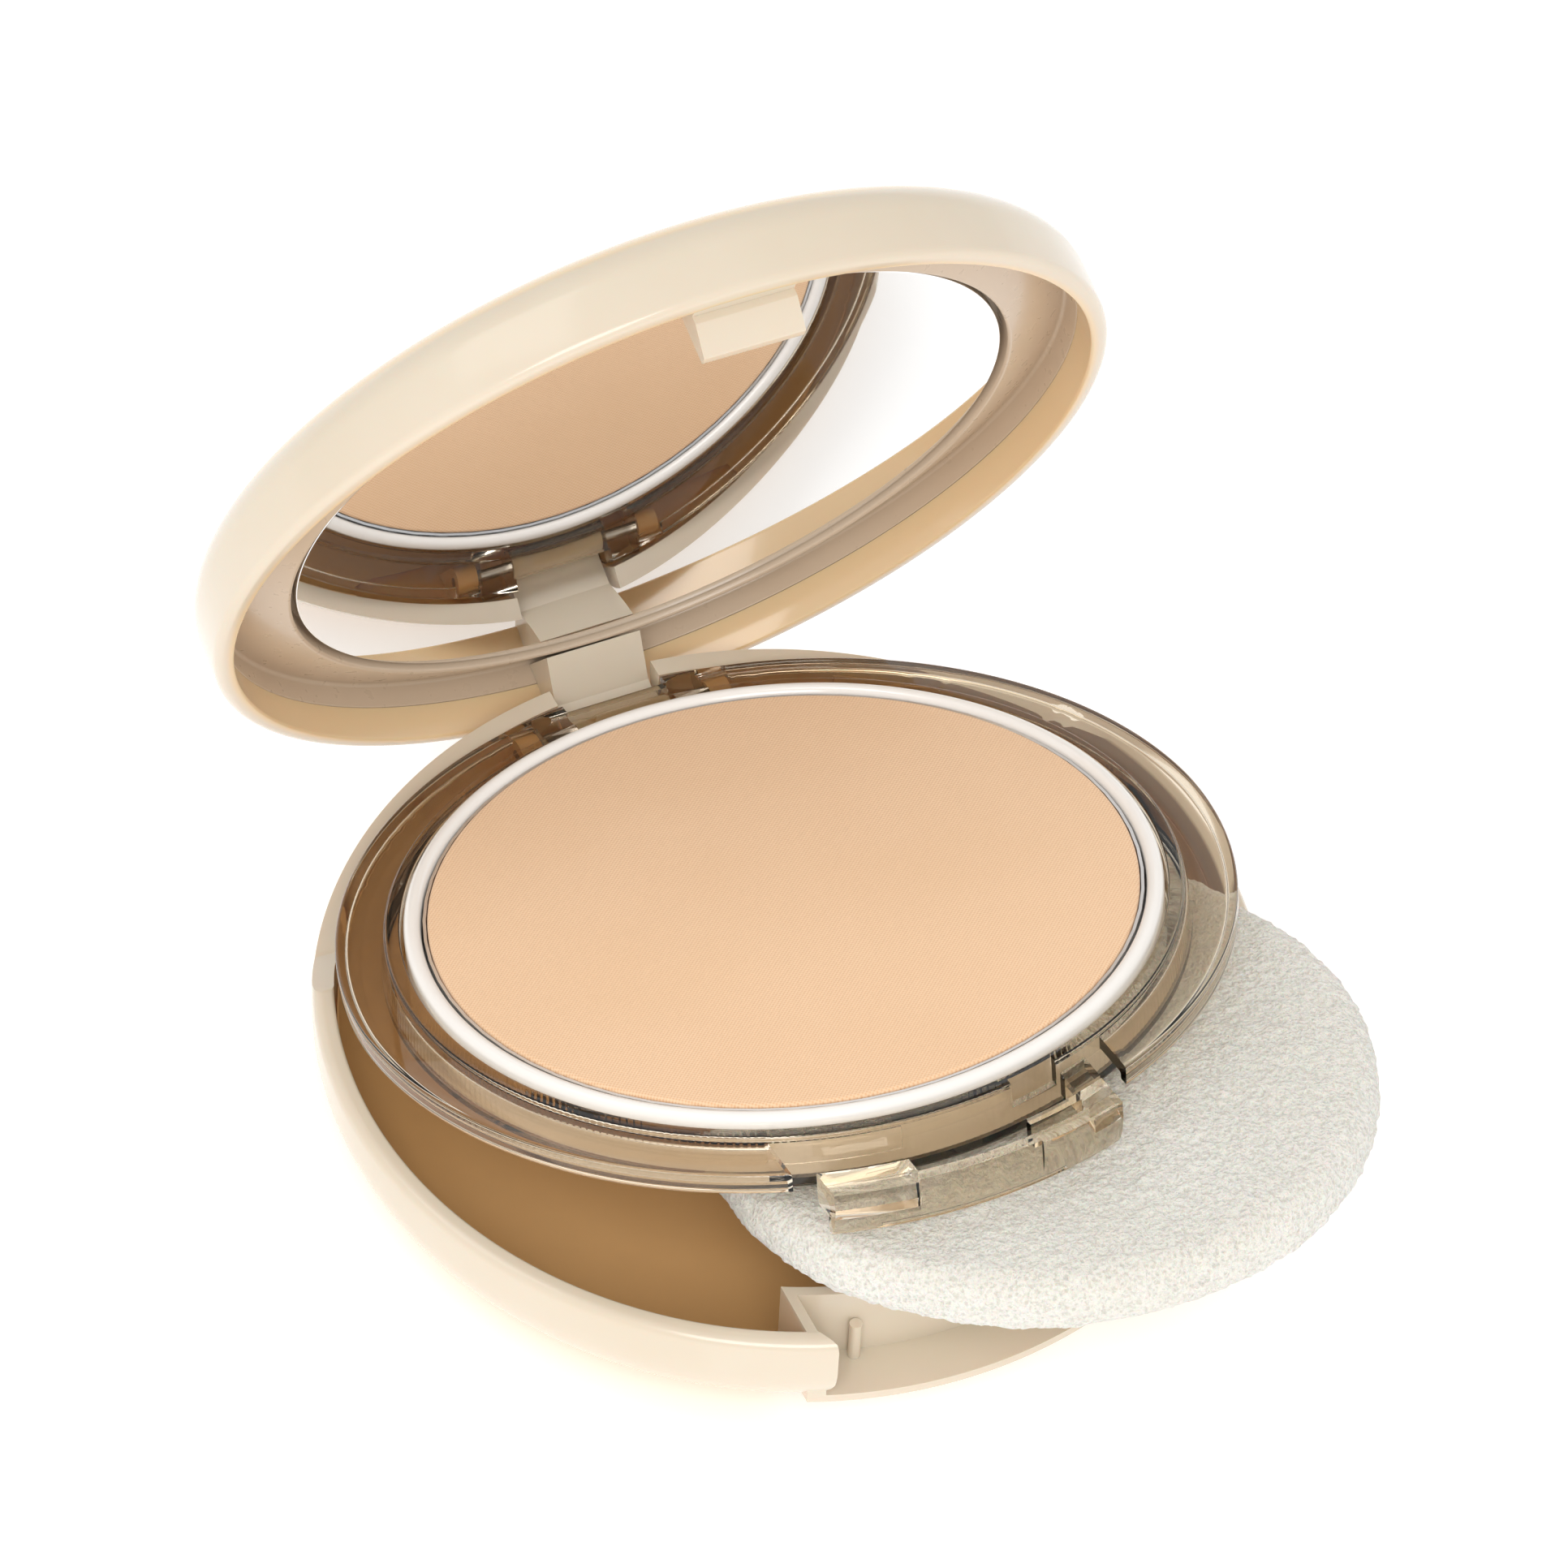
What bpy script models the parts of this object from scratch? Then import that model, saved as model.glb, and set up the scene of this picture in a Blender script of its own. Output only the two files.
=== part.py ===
"""Powder compact: base dish, smoky lift-up tray with a refill, domed mirror lid, push latch and puff.

Every piece is drawn as the compact is when shut: the base stands on Z = 0, the centre axis is Z, the
hinge is at +Y and the push latch at -Y. Empties on the joints then lift the tray and open the lid.
"""
import math

import bmesh
import bpy
from mathutils import Matrix, Vector

MM = 0.001

# ---- overall sizes -------------------------------------------------------------------------
BODY_RADIUS = 38.05 * MM          # outside of base and lid
BASE_HEIGHT = 12.7 * MM           # standing face to base rim
LID_HEIGHT = 9.1 * MM             # lid rim to lid top
PARTING_GAP = 0.3 * MM            # between the two rims when shut
SIDE_GAP = 0.25 * MM              # between neighbours that move past each other
SEAT_GAP = 0.1 * MM               # between pieces seated on each other
SWING_CLEARANCE = 0.35 * MM       # round whatever swings on the hinge

# ---- base ------------------------------------------------------------------------------------
BASE_CORNER_RUN = 15.0 * MM       # how far the bottom curve reaches in from the side
BASE_CORNER_RISE = 9.4 * MM       # how far it reaches up
BASE_FLOOR = 1.3 * MM
RIM_WIDTH = 1.75 * MM
RIM_ROUNDING = 0.8 * MM
LABEL_INSET = 4.0 * MM            # standing face left outside the label recess
LABEL_THICKNESS = 0.2 * MM
DISH_THICKNESS = 0.7 * MM
DISH_TOP_ANGLE = 8.0              # degrees of the side curve left bare above the dish

# ---- tray and refill ---------------------------------------------------------------------------
TRAY_CLEARANCE = 0.3 * MM         # tray edge to the base rim
TRAY_REAR_RELIEF = 0.8 * MM       # extra room behind, where the tray swings back as it lifts
FLANGE_WIDTH = 4.25 * MM
FLANGE_DROP = 1.43 * MM           # base rim down to the top of the tray flange
FLANGE_THICKNESS = 1.1 * MM
LIP_RISE = 0.35 * MM              # low ridge round the refill
SKIRT_WIDTH = 0.9 * MM
SKIRT_DROP = 0.6 * MM
CUP_WALL = 1.25 * MM
CUP_DEPTH = 5.8 * MM              # refill ring top down to the underside of the cup
CUP_LEDGE = 5.5 * MM              # ledge left round the push-out hole
CUP_FLOOR = 0.6 * MM
REFILL_FIT = 0.3 * MM             # refill ring to the cup
RING_TOP_DROP = 0.3 * MM          # base rim down to the top of the refill ring
RING_WIDTH = 1.4 * MM
HOLDER_FLOOR = 0.6 * MM
PAN_FIT = 0.15 * MM
PAN_WALL = 0.25 * MM
PAN_RIM_DROP = 0.45 * MM          # ring top down to the pan rim
CAKE_FIT = 0.12 * MM
CAKE_DROP = 0.2 * MM              # ring top down to the face of the powder
CAKE_EDGE = 0.3 * MM
GLUE_RADIUS = 9.0 * MM
GLUE_THICKNESS = 0.25 * MM

# ---- hinge -------------------------------------------------------------------------------------
HINGE_INSET = 5.31 * MM           # body side in to the hinge axis
HINGE_BELOW_RIM = 4.41 * MM
PIN_RADIUS = 0.6 * MM
PIN_CLEARANCE = 0.08 * MM
PIN_INNER_X = 1.6 * MM
BARREL_RADIUS = 1.5 * MM          # lid barrel between the knuckles
BARREL_HALF = 4.2 * MM
KNUCKLE_RADIUS = 2.9 * MM
KNUCKLE_WIDTH = 2.9 * MM
EAR_RADIUS = 1.65 * MM
EAR_WIDTH = 1.85 * MM
ARM_FRONT_SET = 1.2 * MM          # hinge axis back to the front of the lid arm
ARM_BACK_SET = 3.4 * MM           # hinge axis back to its rear
HINGE_ROOM_HALF = 18.0 * MM       # half width of the room left in the dish for the hinge
REAR_CUT_START = 23.65 * MM       # body side in to where the back wall of the base steps down
REAR_WALL_BELOW_RIM = 2.2 * MM

# ---- latch -------------------------------------------------------------------------------------
NICHE_HALF = 12.4 * MM
NICHE_WALL = 0.8 * MM
NICHE_FLOOR_BELOW_RIM = 7.0 * MM
POST_RADIUS = 0.5 * MM
POST_RISE = 3.9 * MM
POST_X = -8.9 * MM
BUTTON_SIDE_GAP = 0.3 * MM
BUTTON_TOP_BELOW_RIM = 2.3 * MM
BUTTON_FLOOR_GAP = 0.45 * MM
BUTTON_WALL = 1.4 * MM
BUTTON_RECESS = 0.35 * MM
RECESS_LEFT = -5.7 * MM
RECESS_RIGHT = 4.6 * MM
STRIP_LEFT = -8.5 * MM
STRIP_RIGHT = 6.8 * MM
STRIP_HEIGHT = 0.7 * MM
DEEP_END_DEPTH = 3.15 * MM        # body side in to the back of the thick left end
DEEP_END_RIGHT = -5.2 * MM
SPRING_DEPTH = 3.45 * MM          # body side in to the folded-back spring arm
SPRING_WALL = 0.8 * MM
SPRING_LEFT = 9.6 * MM            # left side of the fold
SPRING_ARM_END = 4.8 * MM
BRIDGE_HEIGHT = 2.1 * MM          # web from the tray cup to the fold
HOOK_HALF = 4.2 * MM
HOOK_TIP_BELOW_RIM = 2.6 * MM
HOOK_FREE = 1.1 * MM              # latch bar to the catch

# ---- lid ---------------------------------------------------------------------------------------
LID_CORNER_RUN = 8.0 * MM
LID_CORNER_RISE = 5.0 * MM
LID_WALL = 1.6 * MM
LID_ROOF = 1.3 * MM
LINER_SEAM = 3.0 * MM             # lid rim up to the liner's lower edge
LINER_SKIRT = 0.6 * MM
LINER_EDGE_RISE = 5.0 * MM        # lid rim up to the liner face at the wall
LINER_CENTRE_RISE = 2.9 * MM      # lid rim up to the raised ring round the mirror
LINER_THICKNESS = 0.8 * MM
LINER_CORNER_ANGLE = 30.0         # degrees of rounded back corner
MIRROR_BORDER = 6.4 * MM          # wall in to the edge of the glass
MIRROR_RISE = 3.47 * MM           # lid rim up to the mirror face
MIRROR_THICKNESS = 1.5 * MM
MIRROR_FIT = 0.5 * MM
TAPE_THICKNESS = 0.2 * MM
TAPE_INSET = 6.0 * MM

# ---- puff --------------------------------------------------------------------------------------
PUFF_THICKNESS = 3.9 * MM
PUFF_SIDE_ROOM = 11.55 * MM       # body side in to the edge of the stowed puff
PUFF_X_SHARE = 0.297              # where the puff lies, as shares of the body radius
PUFF_Y_SHARE = -0.573
PUFF_REST_SHARE = 0.074           # rise above the rim, as a share of the puff radius
PUFF_LEAN = 12.2                  # degrees, front edge up
PUFF_AXIS_POINT = Vector((60.84, 38.62, 48.20)) * MM

# ---- how far open it stands ----------------------------------------------------------------------
TRAY_LIFT = 14.6                  # degrees the tray stands above shut
LID_OPEN = 70.2                   # degrees the lid stands above shut

SEGMENTS = 64
CURVE_STEPS = 7
SLIVER = 0.05 * MM
BEYOND = 3.0 * MM                 # how far cutters pass the face they open

# ---- sizes that follow -----------------------------------------------------------------------------
RIM_INNER = BODY_RADIUS - RIM_WIDTH
LABEL_RECESS = LABEL_THICKNESS + SEAT_GAP
LID_RIM = BASE_HEIGHT + PARTING_GAP
LID_INNER = BODY_RADIUS - LID_WALL
RING_TOP = BASE_HEIGHT - RING_TOP_DROP
TRAY_RADIUS = RIM_INNER - TRAY_CLEARANCE
FLANGE_TOP = BASE_HEIGHT - FLANGE_DROP
CUP_OUTER = TRAY_RADIUS - FLANGE_WIDTH
CUP_RADIUS = CUP_OUTER - CUP_WALL
CUP_BOTTOM = RING_TOP - CUP_DEPTH
CUP_SEAT = CUP_BOTTOM + CUP_FLOOR
HOLDER_RADIUS = CUP_RADIUS - REFILL_FIT
PAN_RADIUS = HOLDER_RADIUS - RING_WIDTH - PAN_FIT
GLUE_LOW = CUP_SEAT + HOLDER_FLOOR + 2 * SEAT_GAP
PAN_LOW = GLUE_LOW + GLUE_THICKNESS + SEAT_GAP
CAKE_LOW = PAN_LOW + PAN_WALL + SEAT_GAP
HINGE_Y = BODY_RADIUS - HINGE_INSET
HINGE_Z = BASE_HEIGHT - HINGE_BELOW_RIM
ARM_FRONT = HINGE_Y + ARM_FRONT_SET
ARM_BACK = HINGE_Y + ARM_BACK_SET
KNUCKLE_INNER = BARREL_HALF + SIDE_GAP
EAR_INNER = KNUCKLE_INNER + KNUCKLE_WIDTH + SIDE_GAP
EAR_OUTER = EAR_INNER + EAR_WIDTH
NICHE_INNER = CUP_OUTER + TRAY_CLEARANCE
NICHE_RADIUS = NICHE_INNER + NICHE_WALL
NICHE_OUTER_HALF = NICHE_HALF + NICHE_WALL
NICHE_FLOOR = BASE_HEIGHT - NICHE_FLOOR_BELOW_RIM
BUTTON_HALF = NICHE_HALF - BUTTON_SIDE_GAP
BUTTON_TOP = BASE_HEIGHT - BUTTON_TOP_BELOW_RIM
BUTTON_FOOT = NICHE_FLOOR + BUTTON_FLOOR_GAP
BUTTON_INNER = BODY_RADIUS - BUTTON_WALL
SPRING_RADIUS = BODY_RADIUS - SPRING_DEPTH
BRIDGE_LOW = BUTTON_TOP - BRIDGE_HEIGHT
HOOK_FRONT = BUTTON_INNER - HOOK_FREE
MIRROR_RADIUS = LID_INNER - MIRROR_BORDER
POCKET_RADIUS = MIRROR_RADIUS + MIRROR_FIT
POCKET_FLOOR = LID_RIM + MIRROR_RISE + MIRROR_THICKNESS + TAPE_THICKNESS + 2 * SEAT_GAP
PUFF_RADIUS = BODY_RADIUS - PUFF_SIDE_ROOM


# ---- tools for making meshes -----------------------------------------------------------------------
def clear_scene():
    for item in list(bpy.data.objects):
        bpy.data.objects.remove(item, do_unlink=True)


def plastic(name, colour, roughness, metallic=0.0):
    material = bpy.data.materials.new(name)
    material.use_nodes = True
    shader = material.node_tree.nodes["Principled BSDF"]
    shader.inputs["Base Color"].default_value = (*colour, 1.0)
    shader.inputs["Roughness"].default_value = roughness
    shader.inputs["Metallic"].default_value = metallic
    return material


def add_object(name, shape, material=None):
    bmesh.ops.recalc_face_normals(shape, faces=shape.faces)
    mesh = bpy.data.meshes.new(name)
    shape.to_mesh(mesh)
    shape.free()
    mesh.shade_smooth()
    mesh.set_sharp_from_angle(angle=math.radians(35))
    if material:
        mesh.materials.append(material)
    item = bpy.data.objects.new(name, mesh)
    bpy.context.collection.objects.link(item)
    return item


def arc(centre, height, run, rise, start, end, steps=CURVE_STEPS):
    """Points of an elliptical arc in the (radius, height) plane, angles in degrees from +radius."""
    points = []
    for step in range(steps + 1):
        angle = math.radians(start + (end - start) * step / steps)
        points.append((centre + run * math.cos(angle), height + rise * math.sin(angle)))
    return points


def lathe(name, profile, material=None, segments=SEGMENTS):
    """Turn a closed (radius, height) outline a full turn about Z; points on the axis meet in one."""
    shape = bmesh.new()
    rings = []
    for radius, height in profile:
        if radius < SLIVER:
            rings.append([shape.verts.new((0.0, 0.0, height))] * segments)
            continue
        ring = []
        for step in range(segments):
            angle = 2 * math.pi * step / segments
            ring.append(shape.verts.new((radius * math.cos(angle), radius * math.sin(angle), height)))
        rings.append(ring)
    for index, ring in enumerate(rings):
        following = rings[(index + 1) % len(rings)]
        for step in range(segments):
            after = (step + 1) % segments
            face = list(dict.fromkeys([ring[step], ring[after], following[after], following[step]]))
            if len(face) > 2:
                shape.faces.new(face)
    return add_object(name, shape, material)


def disc(name, radius, low, high, material, segments=SEGMENTS):
    return lathe(name, [(0.0, low), (radius, low), (radius, high), (0.0, high)], material, segments)


def prism(name, outline, low, high, axis="Z", material=None):
    """Extrude an outline from low to high along Z, or, with (y, z) points, along X."""
    shape = bmesh.new()
    ends = []
    for level in (low, high):
        if axis == "Z":
            ends.append([shape.verts.new((a, b, level)) for a, b in outline])
        else:
            ends.append([shape.verts.new((level, a, b)) for a, b in outline])
    shape.faces.new(ends[0])
    shape.faces.new(ends[1])
    for index in range(len(outline)):
        after = (index + 1) % len(outline)
        shape.faces.new((ends[0][index], ends[0][after], ends[1][after], ends[1][index]))
    return add_object(name, shape, material)


def front_band(inner, outer, left, right, steps=2 * CURVE_STEPS):
    """Outline of a strip between two radii at the front, cut off square at x = left and right."""
    outline = []
    for radius, start, end in ((inner, left, right), (outer, right, left)):
        for step in range(steps + 1):
            x = start + (end - start) * step / steps
            outline.append((x, -math.sqrt(radius * radius - x * x)))
    return outline


def bar_x(name, radius, low, high, segments=24, material=None):
    """Round bar along X on the hinge axis."""
    outline = arc(HINGE_Y, HINGE_Z, radius, radius, 0, 360 - 360 / segments, segments - 1)
    return prism(name, outline, low, high, "X", material)


def box(name, low, high):
    outline = [(low[0], low[1]), (high[0], low[1]), (high[0], high[1]), (low[0], high[1])]
    return prism(name, outline, low[2], high[2])


def mirrored_bars(name, radius, inner, outer):
    """Two round bars on the hinge axis, left and right of the middle."""
    return [bar_x(name + "_left", radius, -outer, -inner), bar_x(name + "_right", radius, inner, outer)]


def combine(target, operation, guides):
    """Add the guides to target or take them from it, in order; they stay as hidden outlines."""
    for guide in guides:
        guide.parent = target
        guide.hide_render = True
        guide.display_type = "WIRE"
        change = target.modifiers.new(operation.title() + " " + guide.name, "BOOLEAN")
        change.operation = operation
        change.object = guide
        change.solver = "EXACT"
    return target


# ---- base -------------------------------------------------------------------------------------------
def base_radius_at(height):
    """Outside radius of the base at a height above the standing face."""
    if height >= BASE_CORNER_RISE:
        return BODY_RADIUS
    share = (BASE_CORNER_RISE - height) / BASE_CORNER_RISE
    return BODY_RADIUS - BASE_CORNER_RUN + BASE_CORNER_RUN * math.sqrt(1 - share * share)


def base_skin_at(radius):
    """Height of the outside of the bottom curve at a radius."""
    share = max(0.0, (radius - BODY_RADIUS + BASE_CORNER_RUN) / BASE_CORNER_RUN)
    return BASE_CORNER_RISE * (1 - math.sqrt(1 - share * share))


def make_base_shell(material):
    """Outer bowl with the latch niche in front, the lowered wall behind and two ears for the pins."""
    centre = BODY_RADIUS - BASE_CORNER_RUN
    label_edge = centre - LABEL_INSET
    profile = arc(BODY_RADIUS - RIM_ROUNDING, BASE_HEIGHT - RIM_ROUNDING, RIM_ROUNDING, RIM_ROUNDING, 90, 0, 4)
    profile += arc(centre, BASE_CORNER_RISE, BASE_CORNER_RUN, BASE_CORNER_RISE, 0, -90)
    profile += [(label_edge, 0.0), (label_edge, LABEL_RECESS), (0.0, LABEL_RECESS), (0.0, BASE_FLOOR)]
    profile += arc(centre, BASE_CORNER_RISE, RIM_INNER - centre, BASE_CORNER_RISE - BASE_FLOOR, -90, 0)
    profile += [(RIM_INNER, BASE_HEIGHT)]
    shell = lathe("base_shell", profile, material)

    side_block = front_band(NICHE_INNER, RIM_INNER + RIM_WIDTH / 2, -NICHE_OUTER_HALF, NICHE_OUTER_HALF)
    niche_block = prism("guide_niche_block", side_block, NICHE_FLOOR - NICHE_WALL, BASE_HEIGHT - SLIVER)
    foot_low = base_skin_at(NICHE_RADIUS) + BASE_FLOOR / 2
    foot_band = front_band(NICHE_INNER, NICHE_RADIUS, -NICHE_OUTER_HALF, NICHE_OUTER_HALF)
    niche_foot = prism("guide_niche_foot", foot_band, foot_low, NICHE_FLOOR)
    niche_band = front_band(NICHE_RADIUS, BODY_RADIUS + BEYOND, -NICHE_HALF, NICHE_HALF)
    niche_space = prism("guide_niche_space", niche_band, NICHE_FLOOR, BASE_HEIGHT + BEYOND)
    bridge_gap = box(
        "guide_bridge_gap",
        (SPRING_LEFT - SIDE_GAP, -NICHE_RADIUS - SLIVER, BRIDGE_LOW - SIDE_GAP),
        (NICHE_HALF, BEYOND - NICHE_INNER, BASE_HEIGHT + BEYOND),
    )
    cut_y = BODY_RADIUS - REAR_CUT_START
    cut_side = [
        (cut_y, BASE_HEIGHT + BEYOND),
        (cut_y, BASE_HEIGHT),
        (cut_y + REAR_WALL_BELOW_RIM, BASE_HEIGHT - REAR_WALL_BELOW_RIM),
        (BODY_RADIUS + BEYOND, BASE_HEIGHT - REAR_WALL_BELOW_RIM),
        (BODY_RADIUS + BEYOND, BASE_HEIGHT + BEYOND),
    ]
    rear_low = prism("guide_rear_low", cut_side, -BODY_RADIUS - BEYOND, BODY_RADIUS + BEYOND, "X")
    knuckle_room = bar_x("guide_knuckle_room", KNUCKLE_RADIUS + SWING_CLEARANCE, -EAR_INNER, EAR_INNER, 32)
    notch_half = BARREL_HALF + SWING_CLEARANCE
    arm_notch = box(
        "guide_arm_notch",
        (-notch_half, HINGE_Y, HINGE_Z - ARM_BACK_SET - 2 * SWING_CLEARANCE),
        (notch_half, BODY_RADIUS + BEYOND, BASE_HEIGHT + BEYOND),
    )
    bore = bar_x("guide_ear_bore", PIN_RADIUS + PIN_CLEARANCE, -EAR_OUTER - BEYOND, EAR_OUTER + BEYOND)
    combine(shell, "UNION", [niche_block, niche_foot])
    combine(shell, "DIFFERENCE", [niche_space, bridge_gap])
    combine(shell, "UNION", [round_post("guide_niche_post")])
    combine(shell, "DIFFERENCE", [rear_low, knuckle_room, arm_notch])
    combine(shell, "UNION", [ear("guide_ear_left", -1), ear("guide_ear_right", 1)])
    return combine(shell, "DIFFERENCE", [bore])


def round_post(name):
    """Small post that stands in the niche and stops the thick end of the latch."""
    y = -math.sqrt(NICHE_RADIUS * NICHE_RADIUS - POST_X * POST_X) - POST_RADIUS - SEAT_GAP
    outline = arc(POST_X, y, POST_RADIUS, POST_RADIUS, 0, 330, 11)
    return prism(name, outline, NICHE_FLOOR - NICHE_WALL / 2, NICHE_FLOOR + POST_RISE)


def ear(name, side):
    """Upright ear on the base floor that holds the outer end of a hinge pin."""
    outline = arc(HINGE_Y, HINGE_Z, EAR_RADIUS, EAR_RADIUS, 0, 180)
    for y in (HINGE_Y - EAR_RADIUS, HINGE_Y + EAR_RADIUS):
        outline.append((y, base_skin_at(math.hypot(y, EAR_OUTER)) + BASE_FLOOR / 2))
    low, high = sorted((side * EAR_INNER, side * EAR_OUTER))
    return prism(name, outline, low, high, "X")


def make_inner_dish(material):
    """Thin dish that lines the base and holds the puff."""
    centre = BODY_RADIUS - BASE_CORNER_RUN
    run = RIM_INNER - SEAT_GAP - centre
    rise = BASE_CORNER_RISE - BASE_FLOOR - SEAT_GAP
    profile = [(0.0, BASE_CORNER_RISE - rise)]
    profile += arc(centre, BASE_CORNER_RISE, run, rise, -90, -DISH_TOP_ANGLE)
    run -= DISH_THICKNESS
    rise -= DISH_THICKNESS
    profile += arc(centre, BASE_CORNER_RISE, run, rise, -DISH_TOP_ANGLE, -90)
    profile += [(0.0, BASE_CORNER_RISE - rise)]
    dish = lathe("base_inner_dish", profile, material)
    half = NICHE_OUTER_HALF + SIDE_GAP
    front_room = prism(
        "guide_dish_front",
        front_band(NICHE_INNER - SIDE_GAP, BODY_RADIUS, -half, half),
        -BEYOND,
        BASE_HEIGHT,
    )
    hinge_room = box(
        "guide_dish_hinge",
        (-HINGE_ROOM_HALF, HINGE_Y - KNUCKLE_RADIUS - SWING_CLEARANCE, -BEYOND),
        (HINGE_ROOM_HALF, BODY_RADIUS, BASE_HEIGHT),
    )
    return combine(dish, "DIFFERENCE", [front_room, hinge_room])


def make_label(material):
    """Blank label that fills most of the shallow recess in the standing face."""
    radius = BODY_RADIUS - BASE_CORNER_RUN - LABEL_INSET - SIDE_GAP
    return disc("bottom_label", radius, 0.0, LABEL_THICKNESS, material)


def make_pin(name, side, material):
    low, high = sorted((side * PIN_INNER_X, side * EAR_OUTER))
    return bar_x(name, PIN_RADIUS, low, high, 16, material)


# ---- tray and refill -------------------------------------------------------------------------------
def make_tray(material):
    """Ring-shaped tray with a cup for the refill, hinge knuckles behind and a gap for the latch."""
    bottom = FLANGE_TOP - FLANGE_THICKNESS
    chamfer = CUP_FLOOR
    ledge = CUP_RADIUS - CUP_LEDGE
    profile = [
        (CUP_RADIUS, FLANGE_TOP + LIP_RISE),
        (CUP_OUTER, FLANGE_TOP + LIP_RISE),
        (CUP_OUTER, FLANGE_TOP),
        (TRAY_RADIUS, FLANGE_TOP),
        (TRAY_RADIUS, bottom - SKIRT_DROP),
        (TRAY_RADIUS - SKIRT_WIDTH, bottom - SKIRT_DROP),
        (TRAY_RADIUS - SKIRT_WIDTH, bottom),
        (CUP_OUTER, bottom),
        (CUP_OUTER, CUP_BOTTOM + chamfer),
        (CUP_OUTER - chamfer, CUP_BOTTOM),
        (ledge, CUP_BOTTOM),
        (ledge, CUP_SEAT),
        (CUP_RADIUS, CUP_SEAT),
    ]
    tray = lathe("tray", profile, material)
    for corner in tray.data.vertices:
        reach = math.hypot(corner.co.x, corner.co.y)
        if corner.co.y > 0 and reach > CUP_OUTER + SLIVER:
            shrink = 1 - TRAY_REAR_RELIEF * corner.co.y / (reach * reach)
            corner.co.x *= shrink
            corner.co.y *= shrink

    zone = NICHE_OUTER_HALF + 2 * SIDE_GAP
    latch_band = front_band(CUP_OUTER + SLIVER, BODY_RADIUS + BEYOND, -zone, zone)
    latch_space = prism("guide_latch_space", latch_band, CUP_BOTTOM - BEYOND, BASE_HEIGHT)
    bridge_band = front_band(CUP_OUTER - CUP_WALL / 2, SPRING_RADIUS - SIDE_GAP, SPRING_LEFT, BUTTON_HALF)
    bridge = prism("guide_bridge", bridge_band, BRIDGE_LOW, BUTTON_TOP)
    knuckles = mirrored_bars("guide_knuckle", KNUCKLE_RADIUS, KNUCKLE_INNER, KNUCKLE_INNER + KNUCKLE_WIDTH)
    arm_half = BARREL_HALF + SIDE_GAP
    arm_space = box(
        "guide_arm_space",
        (-arm_half, ARM_FRONT - SIDE_GAP, CUP_BOTTOM - BEYOND),
        (arm_half, BODY_RADIUS, BASE_HEIGHT),
    )
    barrel_space = bar_x("guide_barrel_space", BARREL_RADIUS + SIDE_GAP, -arm_half, arm_half)
    ear_spaces = mirrored_bars("guide_ear_space", EAR_RADIUS + SIDE_GAP, EAR_INNER - SEAT_GAP, EAR_OUTER + SIDE_GAP)
    refill_space = disc("guide_refill_space", CUP_RADIUS, CUP_SEAT, BASE_HEIGHT, None)
    bore = bar_x("guide_knuckle_bore", PIN_RADIUS + PIN_CLEARANCE, -EAR_INNER, EAR_INNER)
    combine(tray, "DIFFERENCE", [latch_space])
    combine(tray, "UNION", [bridge] + knuckles)
    return combine(tray, "DIFFERENCE", [arm_space, barrel_space, refill_space] + ear_spaces + [bore])


def make_refill_holder(material):
    """Shallow white cup with a rounded rim that shows as a ring round the powder."""
    inner = HOLDER_RADIUS - RING_WIDTH
    low = CUP_SEAT + SEAT_GAP
    rounding = RING_WIDTH / 2
    profile = [(0.0, low), (HOLDER_RADIUS, low)]
    profile += arc(HOLDER_RADIUS - rounding, RING_TOP - rounding, rounding, rounding, 0, 180)
    profile += [(inner, low + HOLDER_FLOOR), (0.0, low + HOLDER_FLOOR)]
    return lathe("refill_holder", profile, material)


def make_pan(material):
    rim = RING_TOP - PAN_RIM_DROP
    floor = PAN_LOW + PAN_WALL
    bore = PAN_RADIUS - PAN_WALL
    profile = [(0.0, PAN_LOW), (PAN_RADIUS, PAN_LOW), (PAN_RADIUS, rim), (bore, rim), (bore, floor), (0.0, floor)]
    return lathe("powder_pan", profile, material)


def make_cake(material):
    radius = PAN_RADIUS - PAN_WALL - CAKE_FIT
    face = RING_TOP - CAKE_DROP
    profile = [(0.0, CAKE_LOW), (radius, CAKE_LOW), (radius, face - CAKE_EDGE)]
    profile += [(radius - CAKE_EDGE, face), (0.0, face)]
    return lathe("powder_cake", profile, material)


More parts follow.
